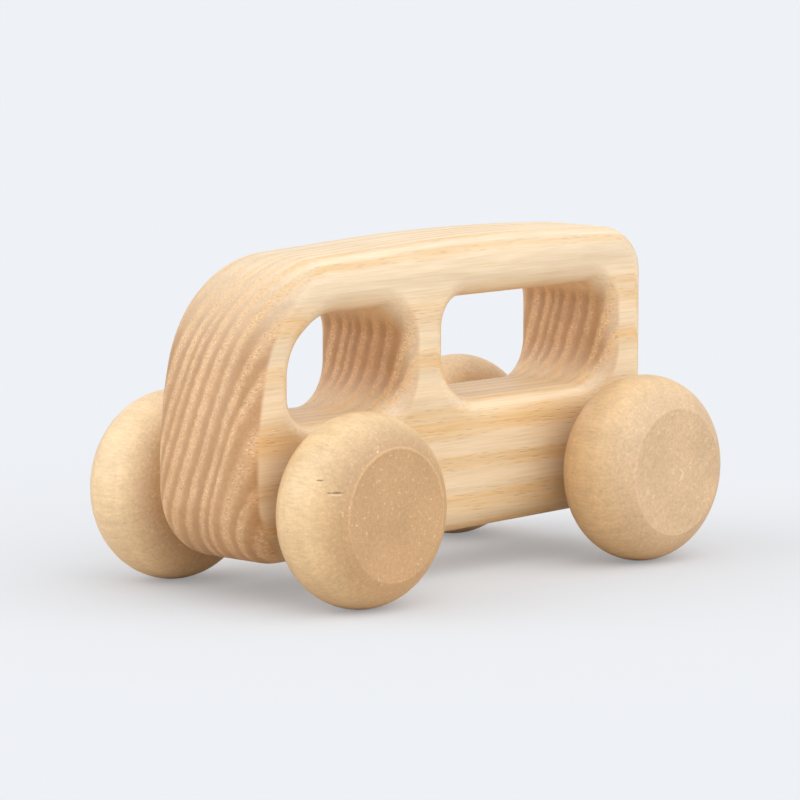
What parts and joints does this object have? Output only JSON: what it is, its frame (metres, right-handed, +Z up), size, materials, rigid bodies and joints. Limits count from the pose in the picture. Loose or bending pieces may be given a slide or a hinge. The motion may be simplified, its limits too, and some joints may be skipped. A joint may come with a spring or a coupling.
{
  "type": "wooden toy car",
  "caption": "Palm-size wooden toy van: a thick rounded board body with window openings cut right through, rolling on fat turned wheels glued to dowel axles.",
  "frame": {"origin": "on the ground, midway between the two axles and between the two sides", "axes": "+X to the nose, +Y to the car's left side, +Z up"},
  "size_m": [0.1264, 0.0746, 0.0711],
  "materials": {
    "ash_board": "fine-sanded ash with a thin satin oil, open pores and plain growth rings",
    "turned_wheel": "close-grained pale hardwood turned smooth, thin satin oil",
    "dowel": "plain hardwood dowel, unfinished"
  },
  "bodies": {
    "body": {"car_body": "ash_board"},
    "front_wheelset": {"front_axle": "dowel", "front_left_wheel": "turned_wheel", "front_right_wheel": "turned_wheel"},
    "rear_wheelset": {"rear_axle": "dowel", "rear_left_wheel": "turned_wheel", "rear_right_wheel": "turned_wheel"}
  },
  "joints": [
    {"name": "front_axle_spin", "type": "hinge", "parent": "body", "child": "front_wheelset", "pos_m": [0.043, 0, 0.02], "axis": [0, 1, 0], "continuous": true},
    {"name": "rear_axle_spin", "type": "hinge", "parent": "body", "child": "rear_wheelset", "pos_m": [-0.043, 0, 0.02], "axis": [0, 1, 0], "continuous": true}
  ]
}
